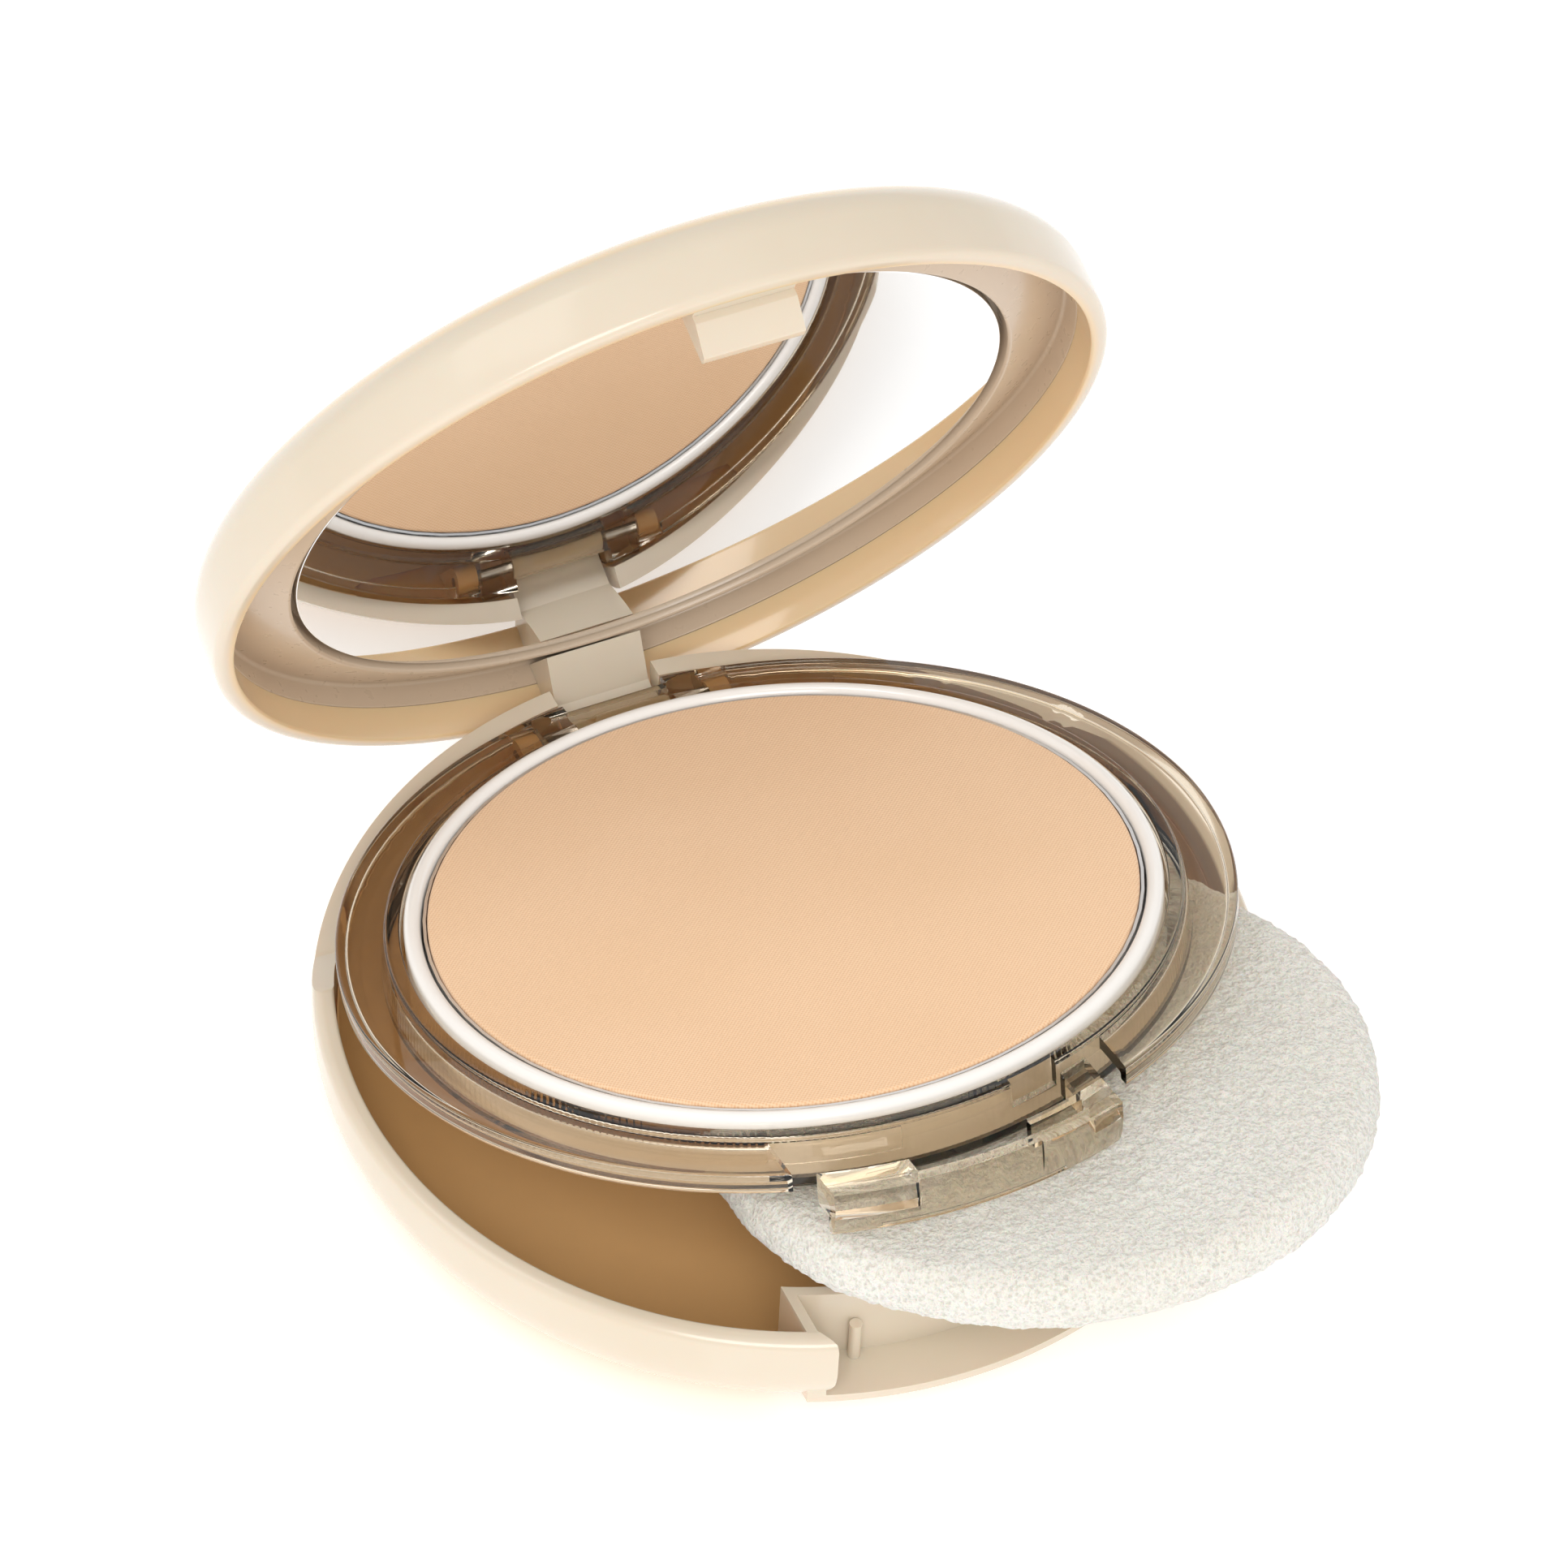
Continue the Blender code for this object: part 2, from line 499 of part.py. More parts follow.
# ---- latch button ------------------------------------------------------------------------------------
def make_button(material):
    """Curved bar flush with the base wall, a deep left end, and a spring folded back at the right."""
    profile = [(BODY_RADIUS, BUTTON_TOP)]
    for step in range(CURVE_STEPS + 1):
        height = BASE_CORNER_RISE + (BUTTON_FOOT - BASE_CORNER_RISE) * step / CURVE_STEPS
        profile.append((base_radius_at(height), height))
    profile += [(BUTTON_INNER, BUTTON_FOOT), (BUTTON_INNER, BUTTON_TOP)]
    bar = lathe("latch_button", profile, material, 2 * SEGMENTS)
    root = BUTTON_INNER + BUTTON_WALL / 4
    top = BUTTON_TOP - SLIVER
    span_band = front_band(CUP_OUTER, BODY_RADIUS + BEYOND, -BUTTON_HALF, BUTTON_HALF)
    span = prism("guide_button_span", span_band, BUTTON_FOOT - BEYOND, BUTTON_TOP + BEYOND)
    deep_band = front_band(BODY_RADIUS - DEEP_END_DEPTH, root, -BUTTON_HALF, DEEP_END_RIGHT)
    deep_end = prism("guide_deep_end", deep_band, BUTTON_FOOT + BUTTON_WALL, top)
    fold_band = front_band(SPRING_RADIUS, root, SPRING_LEFT, BUTTON_HALF)
    fold = prism("guide_spring_fold", fold_band, BRIDGE_LOW, top)
    arm_band = front_band(SPRING_RADIUS, SPRING_RADIUS + SPRING_WALL, SPRING_ARM_END, SPRING_LEFT + SIDE_GAP)
    spring_arm = prism("guide_spring_arm", arm_band, BRIDGE_LOW + SLIVER, top - SLIVER)
    recess_band = front_band(BODY_RADIUS - BUTTON_RECESS, BODY_RADIUS + BEYOND, RECESS_LEFT, RECESS_RIGHT)
    recess = prism("guide_face_recess", recess_band, BUTTON_FOOT + STRIP_HEIGHT, BUTTON_TOP + BEYOND)
    strip_radius = base_radius_at(BUTTON_FOOT + STRIP_HEIGHT) - BUTTON_RECESS
    strip_band = front_band(strip_radius, BODY_RADIUS + BEYOND, STRIP_LEFT, STRIP_RIGHT)
    strip = prism("guide_foot_strip", strip_band, BUTTON_FOOT - BEYOND, BUTTON_FOOT + STRIP_HEIGHT - SLIVER)
    combine(bar, "INTERSECT", [span])
    combine(bar, "UNION", [deep_end, fold, spring_arm])
    return combine(bar, "DIFFERENCE", [recess, strip])


# ---- lid ---------------------------------------------------------------------------------------------
def liner_face(radius):
    """Height of the liner's sloping face: highest at the wall, lowest round the mirror."""
    share = (radius - POCKET_RADIUS) / (LID_INNER - POCKET_RADIUS)
    return LID_RIM + LINER_CENTRE_RISE + share * (LINER_EDGE_RISE - LINER_CENTRE_RISE)


def make_lid_shell(material):
    """Domed outer shell with the catch in front and the hinge arm behind."""
    flat = BODY_RADIUS - LID_CORNER_RUN
    shoulder = LID_RIM + LID_HEIGHT - LID_CORNER_RISE
    roof = LID_RIM + LID_HEIGHT - LID_ROOF
    seam = LID_RIM + LINER_SEAM
    step_radius = LID_INNER + LINER_SKIRT + 2 * SEAT_GAP
    profile = [(LID_INNER, LID_RIM)]
    profile += arc(BODY_RADIUS - RIM_ROUNDING, LID_RIM + RIM_ROUNDING, RIM_ROUNDING, RIM_ROUNDING, -90, 0, 4)
    profile += arc(flat, shoulder, LID_CORNER_RUN, LID_CORNER_RISE, 0, 90)
    profile += [(0.0, LID_RIM + LID_HEIGHT), (0.0, roof)]
    profile += arc(flat, shoulder, step_radius - flat, roof - shoulder, 90, 0)
    profile += [(step_radius, seam), (LID_INNER, seam)]
    shell = lathe("lid_shell", profile, material)
    hook = prism("guide_latch_hook", hook_outline(), -HOOK_HALF, HOOK_HALF, "X")
    arm = prism("guide_hinge_arm", arm_outline(), -BARREL_HALF, BARREL_HALF, "X")
    barrel = bar_x("guide_hinge_barrel", BARREL_RADIUS, -BARREL_HALF, BARREL_HALF)
    bores = mirrored_bars("guide_lid_bore", PIN_RADIUS + PIN_CLEARANCE, PIN_INNER_X - SIDE_GAP, BARREL_HALF + BEYOND)
    combine(shell, "UNION", [hook, arm, barrel])
    return combine(shell, "DIFFERENCE", bores)


def hook_outline():
    """Side view of the catch that drops between the niche wall and the button."""
    wall = BODY_RADIUS - LID_WALL / 2
    root = LID_RIM + LINER_SEAM - 2 * SEAT_GAP
    low = LID_RIM + SLIVER
    back = NICHE_RADIUS + 2 * SIDE_GAP
    tip = BASE_HEIGHT - HOOK_TIP_BELOW_RIM
    return [
        (-wall, root),
        (-wall, low),
        (-HOOK_FRONT, low),
        (-HOOK_FRONT, BASE_HEIGHT - SIDE_GAP),
        (-back - SPRING_WALL, tip),
        (-back, tip),
        (-back, liner_face(back) - SIDE_GAP),
        (-HOOK_FRONT, liner_face(HOOK_FRONT) - SIDE_GAP),
        (-HOOK_FRONT, root),
    ]


def arm_outline():
    """Side view of the block that joins the lid wall to the hinge barrel."""
    wall = BODY_RADIUS - LID_WALL / 2
    root = LID_RIM + LINER_SEAM - 2 * SEAT_GAP
    nose = POCKET_RADIUS + SIDE_GAP
    heel = BARREL_RADIUS / math.sqrt(2)
    return [
        (nose, liner_face(nose) - SIDE_GAP),
        (ARM_BACK, liner_face(ARM_BACK) - SIDE_GAP),
        (ARM_BACK, root),
        (wall, root),
        (wall, LID_RIM + SLIVER),
        (ARM_BACK, BASE_HEIGHT),
        (ARM_BACK, HINGE_Z + heel),
        (HINGE_Y + heel, HINGE_Z - heel),
        (HINGE_Y, HINGE_Z),
        (ARM_FRONT, HINGE_Z + BARREL_RADIUS),
        (ARM_FRONT, BASE_HEIGHT),
    ]


def make_liner(material):
    """Moulded inner lid: a cup for the mirror, a sloping border and a skirt that clips in the shell."""
    skirt_outer = LID_INNER + LINER_SKIRT + SEAT_GAP
    seam = LID_RIM + LINER_SEAM + SEAT_GAP
    flat = BODY_RADIUS - LID_CORNER_RUN
    shoulder = LID_RIM + LID_HEIGHT - LID_CORNER_RISE
    rise = LID_HEIGHT + LID_RIM - LID_ROOF - SEAT_GAP - shoulder
    cup_outer = POCKET_RADIUS + LINER_THICKNESS
    border_outer = LID_INNER - LINER_THICKNESS
    back = POCKET_FLOOR + LINER_THICKNESS
    profile = [
        (0.0, POCKET_FLOOR),
        (POCKET_RADIUS, POCKET_FLOOR),
        (POCKET_RADIUS, liner_face(POCKET_RADIUS)),
        (LID_INNER, liner_face(LID_INNER)),
        (LID_INNER, seam),
        (skirt_outer, seam),
    ]
    profile += arc(flat, shoulder, skirt_outer - flat, rise, 0, LINER_CORNER_ANGLE, 3)
    profile += [
        (border_outer, liner_face(border_outer) + LINER_THICKNESS),
        (cup_outer, liner_face(cup_outer) + LINER_THICKNESS),
        (cup_outer, back),
        (0.0, back),
    ]
    return lathe("lid_liner", profile, material)


# ---- puff --------------------------------------------------------------------------------------------
def make_puff(material):
    """Round flocked pad, plain here, lying on the rim under the raised tray."""
    half = PUFF_THICKNESS / 2
    profile = [(0.0, -half)] + arc(PUFF_RADIUS - half, 0.0, half, half, -90, 90) + [(0.0, half)]
    return lathe("powder_puff", profile, material)


# ---- joints and assembly -------------------------------------------------------------------------------
def add_axis(name, place, turn=0.0, parent=None):
    """Empty on a joint axis; turn, in degrees, opens what hangs on it."""
    axis = bpy.data.objects.new(name, None)
    axis.matrix_basis = Matrix.Translation(place) @ Matrix.Rotation(math.radians(-turn), 4, "X")
    axis.parent = parent
    bpy.context.collection.objects.link(axis)
    return axis


def hang(pieces, axis, place):
    """Parent pieces drawn as when shut to an axis that passes through place."""
    for piece in pieces:
        piece.parent = axis
        piece.location = -place


def main():
    clear_scene()
    cream = plastic("cream gloss plastic", (0.83, 0.74, 0.62), 0.22)
    tan = plastic("tan plastic", (0.50, 0.32, 0.16), 0.35)
    smoke = plastic("smoky brown plastic", (0.30, 0.22, 0.16), 0.12)
    blush = plastic("beige liner plastic", (0.66, 0.53, 0.44), 0.32)
    white = plastic("white gloss plastic", (0.88, 0.86, 0.82), 0.18)
    steel = plastic("steel", (0.62, 0.60, 0.57), 0.25, 1.0)
    tin = plastic("aluminium", (0.80, 0.80, 0.80), 0.3, 1.0)
    glass = plastic("mirror glass", (0.90, 0.91, 0.92), 0.03, 1.0)
    powder = plastic("pressed powder", (0.82, 0.55, 0.37), 0.9)
    paper = plastic("label paper", (0.86, 0.84, 0.80), 0.7)
    tape = plastic("adhesive", (0.75, 0.74, 0.70), 0.6)
    flock = plastic("white flock", (0.90, 0.88, 0.83), 0.95)

    make_base_shell(cream)
    make_inner_dish(tan)
    make_label(paper)
    make_pin("hinge_pin_left", -1, steel)
    make_pin("hinge_pin_right", 1, steel)

    hinge = Vector((0.0, HINGE_Y, HINGE_Z))
    tray_axis = add_axis("tray_axis", hinge, TRAY_LIFT)
    glue = disc("pan_glue_pad", GLUE_RADIUS, GLUE_LOW, GLUE_LOW + GLUE_THICKNESS, tape)
    refill = [make_refill_holder(white), glue, make_pan(tin), make_cake(powder)]
    hang([make_tray(smoke)] + refill, tray_axis, hinge)
    fold = Vector(((SPRING_LEFT + BUTTON_HALF) / 2, -SPRING_RADIUS, BUTTON_TOP))
    latch_axis = add_axis("latch_axis", fold - hinge, 0.0, tray_axis)
    hang([make_button(smoke)], latch_axis, fold)

    lid_axis = add_axis("lid_axis", hinge, LID_OPEN)
    mirror_back = LID_RIM + MIRROR_RISE + MIRROR_THICKNESS
    mirror = disc("mirror", MIRROR_RADIUS, LID_RIM + MIRROR_RISE, mirror_back, glass)
    tape_low = mirror_back + SEAT_GAP
    mirror_tape = disc("mirror_tape", MIRROR_RADIUS - TAPE_INSET, tape_low, tape_low + TAPE_THICKNESS, tape)
    hang([make_lid_shell(cream), make_liner(blush), mirror, mirror_tape], lid_axis, hinge)

    puff_rise = PUFF_THICKNESS / 2 + PUFF_REST_SHARE * PUFF_RADIUS
    puff_place = Vector((PUFF_X_SHARE * BODY_RADIUS, PUFF_Y_SHARE * BODY_RADIUS, BASE_HEIGHT + puff_rise))
    puff = make_puff(flock)
    puff.parent = add_axis("puff_axis", PUFF_AXIS_POINT)
    lean = Matrix.Rotation(math.radians(-PUFF_LEAN), 4, "X")
    puff.matrix_basis = Matrix.Translation(puff_place - PUFF_AXIS_POINT) @ lean


main()
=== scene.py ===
"""Open powder compact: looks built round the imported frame, in metres, at the pose it rests in."""
import math

import bmesh
import bpy
import numpy as np
from mathutils import Matrix, Vector


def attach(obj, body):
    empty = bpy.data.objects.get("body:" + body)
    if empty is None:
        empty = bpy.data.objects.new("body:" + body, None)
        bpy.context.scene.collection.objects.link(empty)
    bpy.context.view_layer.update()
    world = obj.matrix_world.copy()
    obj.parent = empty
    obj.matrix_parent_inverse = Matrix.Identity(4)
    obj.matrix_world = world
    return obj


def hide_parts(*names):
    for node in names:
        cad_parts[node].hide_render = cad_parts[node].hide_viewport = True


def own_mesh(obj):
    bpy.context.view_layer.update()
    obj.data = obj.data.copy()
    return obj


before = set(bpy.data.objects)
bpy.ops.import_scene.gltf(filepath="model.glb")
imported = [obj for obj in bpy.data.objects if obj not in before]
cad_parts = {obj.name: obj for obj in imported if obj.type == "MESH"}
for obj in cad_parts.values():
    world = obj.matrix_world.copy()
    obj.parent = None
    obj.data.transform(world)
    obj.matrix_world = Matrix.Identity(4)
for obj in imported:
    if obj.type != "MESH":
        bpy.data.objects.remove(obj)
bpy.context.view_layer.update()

# The base is one glossy cream moulding: a bowl with a rolled rim, standing on a ring round the label recess.
# The latch niche with its post and the ears for the hinge pins are moulded on it. Its inside lies in the
# shade of the tray, and that shade is painted on it as a deeper tan.
MM = 0.001
HINGE = np.array([0.0, 32.74, 8.29])
BODY_RADIUS = 38.05
WELL_RADIUS = 36.3
BASE_TOP = 12.7
CREAM = (0.70, 0.605, 0.475)
CREAM_SHADE = (0.68, 0.58, 0.445)
SHADE_TAN = (0.76, 0.46, 0.20)


def about_x(degrees):
    """Matrix that turns a point about the X axis, from +Y towards +Z."""
    cosine, sine = math.cos(math.radians(degrees)), math.sin(math.radians(degrees))
    return np.array([[1, 0, 0], [0, cosine, -sine], [0, sine, cosine]])


class Wire:
    """One output in a material's node tree; + - * with it or with a number add the maths nodes."""

    def __init__(self, tree, socket):
        self.tree = tree
        self.socket = socket

    def new(self, kind, settings=None, inputs=None, output=0):
        """Any node: its settings come first, then the values or links of its sockets."""
        node = self.tree.nodes.new("ShaderNode" + kind)
        for key, value in (settings or {}).items():
            setattr(node, key, value)
        for key, value in (inputs or {}).items():
            if isinstance(value, Wire):
                self.tree.links.new(value.socket, node.inputs[key])
            else:
                node.inputs[key].default_value = value
        return Wire(self.tree, node.outputs[output])

    def maths(self, operation, first, second=0.0):
        return self.new("Math", {"operation": operation}, {0: first, 1: second})

    def vectors(self, operation, second=(0.0, 0.0, 0.0), output=0):
        return self.new("VectorMath", {"operation": operation}, {0: self, 1: second}, output)

    def __add__(self, other):
        return self.maths("ADD", self, other)

    def __sub__(self, other):
        return self.maths("SUBTRACT", self, other)

    def __rsub__(self, other):
        return self.maths("SUBTRACT", other, self)

    def __mul__(self, other):
        return self.maths("MULTIPLY", self, other)

    __radd__ = __add__
    __rmul__ = __mul__

    def wave(self):
        return self.maths("SINE", self)

    def size(self):
        return self.maths("ABSOLUTE", self)

    def at_most(self, limit):
        return self.maths("MINIMUM", self, limit)

    def part(self, axis):
        return self.new("SeparateXYZ", None, {0: self}, axis)

    def shut(self, degrees):
        """The same point with its piece turned back down about the hinge."""
        arm = self.vectors("SUBTRACT", tuple(HINGE * MM))
        rows = [arm.vectors("DOT_PRODUCT", tuple(row), 1) for row in about_x(degrees)]
        return arm.new("CombineXYZ", None, dict(enumerate(rows))).vectors("ADD", tuple(HINGE * MM))

    def reach(self):
        """Distance from the upright axis: the length of the point with its height taken out."""
        return self.vectors("MULTIPLY", (1.0, 1.0, 0.0)).vectors("LENGTH", output=1)

    def rise(self, low, high):
        """0 below low, 1 above high, eased between."""
        inputs = {"Value": self, "From Min": low, "From Max": high}
        return self.new("MapRange", {"interpolation_type": "SMOOTHSTEP"}, inputs)

    def blend(self, first, second):
        return self.new("Mix", {"data_type": "RGBA"}, {0: self, 6: first, 7: second}, 2)

    def noise(self, scale, detail=3.0):
        return self.new("TexNoise", None, {"Vector": self, "Scale": scale, "Detail": detail})

    def bump(self, height, distance, strength=1.0):
        return self.new("Bump", None, {"Height": height, "Distance": distance, "Strength": strength})

    def feed(self, shader, name):
        self.tree.links.new(self.socket, shader.inputs[name])


def plastic(name, tint, shade, roughness, **sockets):
    """Moulded plastic whose colour and gloss drift a little from place to place."""
    material = bpy.data.materials.new(name)
    material.use_nodes = True
    tree = material.node_tree
    shader = tree.nodes["Principled BSDF"]
    for key, value in sockets.items():
        shader.inputs[key.replace("_", " ")].default_value = value
    place = Wire(tree, tree.nodes.new("ShaderNodeTexCoord").outputs["Object"])
    colour = place.noise(60.0).rise(0.3, 0.7).blend((*tint, 1.0), (*shade, 1.0))
    colour.feed(shader, "Base Color")
    (place.noise(900.0, 2.0) * 0.04 + (roughness - 0.02)).feed(shader, "Roughness")
    return material, place, shader, colour


def glossy_cream(name):
    """The cream of base and lid: a little light passes into it, and a thin clear gloss lies over it."""
    return plastic(
        name, CREAM, CREAM_SHADE, 0.2,
        Subsurface_Weight=0.12, Subsurface_Scale=0.002, Coat_Weight=0.3, Coat_Roughness=0.08,
    )


base_cream, place, shader, colour = glossy_cream("base cream")
# Painted shade: tan within 36.1 mm of the axis, from just above the floor ring up to the rim and away from the
# niche; it also falls on the lower outside of the bowl.
within = 1.0 - place.reach().rise(36.1 * MM, 36.4 * MM)
below_rim = 1.0 - place.part(2).rise(11.9 * MM, BASE_TOP * MM)
beside_niche = place.part(0).size().rise(13.8 * MM, 14.1 * MM)
behind_niche = place.part(1).rise(-29.0 * MM, -28.0 * MM)
above_floor = place.part(2).rise(1.2 * MM, 1.3 * MM)
painted_shade = within * below_rim * (beside_niche + behind_niche).at_most(1.0) * above_floor
painted_shade.blend(colour, (*SHADE_TAN, 1.0)).feed(shader, "Base Color")


def rounded(points, radii, steps=5):
    """Outline with each corner replaced by an arc that is tangent to both its sides.

    The centre lies on the line that halves the corner, at radius / sin(half the angle). The arc's points
    are weighted sums of its first and last spokes, so that they stay a radius from the centre.
    """
    points = np.array(points, float)
    found = []
    for index, corner in enumerate(points):
        radius = radii[index]
        if radius == 0:
            found.append(corner)
            continue
        before = points[index - 1] - corner
        after = points[(index + 1) % len(points)] - corner
        before /= np.linalg.norm(before)
        after /= np.linalg.norm(after)
        half = math.acos(np.clip(before @ after, -1, 1)) / 2
        middle = before + after
        centre = corner + middle / np.linalg.norm(middle) * radius / math.sin(half)
        start = corner + before * radius / math.tan(half) - centre
        end = corner + after * radius / math.tan(half) - centre
        sweep = math.acos(np.clip(start @ end / radius**2, -1, 1))
        for share in np.linspace(0, 1, steps + 1):
            weight = np.array([math.sin((1 - share) * sweep), math.sin(share * sweep)]) / math.sin(sweep)
            found.append(centre + weight[0] * start + weight[1] * end)
    return np.array(found)


def curve(centre, height, run, rise, start, end, steps=24):
    """Elliptical arc: centre + run * cos(angle) and height + rise * sin(angle), angles in degrees."""
    angles = np.radians(np.linspace(start, end, steps + 1))
    return np.stack([centre + run * np.cos(angles), height + rise * np.sin(angles)], 1)


def turned(profile, segments):
    """Grid of points: the (radius, height) outline carried a full turn about the upright axis."""
    profile = np.asarray(profile, float)
    angles = np.linspace(0, 2 * np.pi, segments, endpoint=False)
    radius, height = profile[:, :1], profile[:, 1:]
    return np.stack([radius * np.cos(angles), radius * np.sin(angles), height + 0 * angles], 2)


def lifted(points, degrees):
    """Points drawn in millimetres as when shut, turned up about the hinge and brought to metres."""
    return ((np.asarray(points) - HINGE) @ about_x(-degrees).T + HINGE) * MM


def quads(rows, columns, loop=True):
    """Faces of a grid whose columns close on themselves; loop closes the rows as well.

    Each face joins a point to the next in its row and to the same two in the row below.
    """
    row = np.arange(rows if loop else rows - 1)[:, None]
    here, below = row * columns, (row + 1) % rows * columns
    column = np.arange(columns)
    after = (column + 1) % columns
    return np.stack([here + column, here + after, below + after, below + column], 2).reshape(-1, 4).tolist()


def show(name, points, faces, material, sharp=30.0):
    """Mesh object from points in metres; meeting corners are merged and faces turned outwards."""
    mesh = bpy.data.meshes.new(name)
    mesh.from_pydata(np.asarray(points).reshape(-1, 3).tolist(), [], faces)
    shape = bmesh.new()
    shape.from_mesh(mesh)
    bmesh.ops.remove_doubles(shape, verts=shape.verts, dist=1e-6)
    bmesh.ops.recalc_face_normals(shape, faces=shape.faces)
    shape.to_mesh(mesh)
    shape.free()
    mesh.shade_smooth()
    mesh.set_sharp_from_angle(angle=math.radians(sharp))
    mesh.materials.append(material)
    item = bpy.data.objects.new(name, mesh)
    bpy.context.collection.objects.link(item)
    return item


def lathe(name, profile, material, degrees=0.0, segments=320):
    """Round piece from a closed outline, opened about the hinge by degrees."""
    grid = turned(profile, segments)
    return show(name, lifted(grid, degrees), quads(*grid.shape[:2]), material)


BOWL_RADIUS = 23.05
BOWL_LEVEL = 9.4
LABEL_RADIUS = 19.05
LABEL_RECESS = 0.3
FLOOR_TOP = 1.3
rim = rounded(
    [(WELL_RADIUS, BOWL_LEVEL), (WELL_RADIUS, BASE_TOP), (BODY_RADIUS, BASE_TOP), (BODY_RADIUS, BOWL_LEVEL)],
    [0, 0.3, 0.9, 0],
)
profile = np.concatenate([
    rim[1:-1],
    curve(BOWL_RADIUS, BOWL_LEVEL, 15.0, BOWL_LEVEL, 0, -90),
    [(LABEL_RADIUS, 0.0), (LABEL_RADIUS, LABEL_RECESS), (0.0, LABEL_RECESS), (0.0, FLOOR_TOP)],
    curve(BOWL_RADIUS, BOWL_LEVEL, 13.25, 8.1, -90, 0),
])
base = lathe("base", profile, base_cream)

# The niche is the base's own front wall, set back so that a fingertip reaches the latch. A small round
# post stands at its back, towards the left. The wall is lower behind, and two ears carry the hinge pins.
NICHE_BACK = 32.85
NICHE_WALL = 32.05
NICHE_ENDS = (-13.9, 13.5)
ABOVE = 20.0


def block(name, outline, low, high, material, degrees=0.0, along="Z"):
    """Straight piece: a flat outline carried from low to high along Z, or along X from (y, z) points."""
    outline = np.asarray(outline, float)
    ends = []
    for level in (low, high):
        filled = np.full(len(outline), level)
        columns = (*outline.T, filled) if along == "Z" else (filled, *outline.T)
        ends.append(np.stack(columns, 1))
    count = len(outline)
    faces = [tuple(range(count)), tuple(range(count, 2 * count))]
    faces += [(i, (i + 1) % count, (i + 1) % count + count, i + count) for i in range(count)]
    return show(name, lifted(np.concatenate(ends), degrees), faces, material)


def carve(target, tools, operation="DIFFERENCE"):
    """Take the tools out of target, or join them to it; the tools are used up."""
    for tool in tools:
        change = target.modifiers.new(tool.name, "BOOLEAN")
        change.operation = operation
        change.object = tool
        change.solver = "EXACT"
    bpy.context.view_layer.update()
    mesh = bpy.data.meshes.new_from_object(target.evaluated_get(bpy.context.evaluated_depsgraph_get()))
    target.modifiers.clear()
    target.data = mesh
    for tool in tools:
        bpy.data.objects.remove(tool, do_unlink=True)
    mesh.shade_smooth()
    mesh.set_sharp_from_angle(angle=math.radians(30))


def front_arc(radius, left, right, steps):
    """Front of a circle seen from above: y = -sqrt(radius squared - x squared), x from left to right."""
    x = np.linspace(left, right, steps + 1)
    return np.stack([x, -np.sqrt(radius**2 - x**2)], 1)


def band(inner, outer, left, right, steps=48):
    """Plan outline of a strip between two radii at the front, cut square at left and right."""
    return np.concatenate([front_arc(inner, left, right, steps), front_arc(outer, left, right, steps)[::-1]])


walls = block("niche_walls", band(NICHE_WALL, 37.2, *NICHE_ENDS), 4.9, BASE_TOP - 0.04, base_cream)
foot = block("niche_foot", band(NICHE_WALL, NICHE_BACK, *NICHE_ENDS), 3.9, 5.7, base_cream)
carve(base, [walls, foot], "UNION")
niche_plan = np.concatenate([
    [(-12.2, -45.0), (-12.2, -35.7), (-13.1, -33.9)],
    front_arc(NICHE_BACK, -13.1, 12.7, 40),
    [(12.7, -33.9), (12.2, -35.7), (12.2, -45.0)],
])
bridge_gap = [(9.35, -33.2), (12.9, -33.2), (12.9, -29.0), (9.35, -29.0)]
low_rear_wall = [(12.4, ABOVE), (12.4, BASE_TOP), (18.0, 10.2), (45, 10.2), (45, ABOVE)]
arm_notch = [(-4.55, 33.0), (4.55, 33.0), (4.55, 41.0), (-4.55, 41.0)]
carve(base, [
    block("niche_space", niche_plan, 5.7, ABOVE, base_cream),
    block("bridge_gap", bridge_gap, 8.05, ABOVE, base_cream),
    block("low_rear_wall", low_rear_wall, -45, 45, base_cream, along="X"),
    block("arm_notch", arm_notch, 4.19, ABOVE, base_cream),
])
around = np.linspace(0, 2 * np.pi, 24, endpoint=False)
post_plan = np.stack([-8.9 + 0.5 * np.cos(around), -32.2 + 0.5 * np.sin(around)], 1)
post = block("niche_post", post_plan, 5.5, 9.6, base_cream)
EAR_RADIUS = 1.65
ears = []
for side in (-1, 1):
    ear_top = curve(*HINGE[1:], EAR_RADIUS, EAR_RADIUS, 0, 180, 16)
    ear_side = np.concatenate([ear_top, [(31.09, 3.9), (34.39, 6.1)]])
    ends = sorted((side * 7.6, side * 9.45))
    ears.append(block(f"hinge_ear_{len(ears)}", ear_side, *ends, base_cream, along="X"))
for item in (base, post, *ears):
    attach(item, "base")
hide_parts("base_shell")

# The well is lined by a thin satin dish dropped into the bowl, which it follows; its tan is painted shade.
# It thins out towards its edge; the puff lies in it when the compact is shut.
DISH_RUN = 13.15
DISH_RISE = 8.0
DISH_EDGE = -8
DISH_WALL = 0.7
DISH_THINNING = 0.55
# Painted shade: the dish is coloured the same tan as the shaded inside of the base.
tan = plastic("tan", SHADE_TAN, (0.73, 0.43, 0.18), 0.24, Coat_Weight=0.25, Coat_Roughness=0.12)[0]
under = curve(BOWL_RADIUS, BOWL_LEVEL, DISH_RUN, DISH_RISE, -90, DISH_EDGE)
slope = np.linspace(-90, DISH_EDGE, 25)[:, None]
wall = DISH_WALL - DISH_THINNING * np.clip((slope + 50) / 42, 0, 1)
upper = np.concatenate([
    BOWL_RADIUS + (DISH_RUN - wall) * np.cos(np.radians(slope)),
    BOWL_LEVEL + (DISH_RISE - wall) * np.sin(np.radians(slope)),
], 1)
dish = lathe("dish", np.concatenate([[(0.0, 1.4)], under, upper[::-1], [(0.0, 2.1)]]), tan)
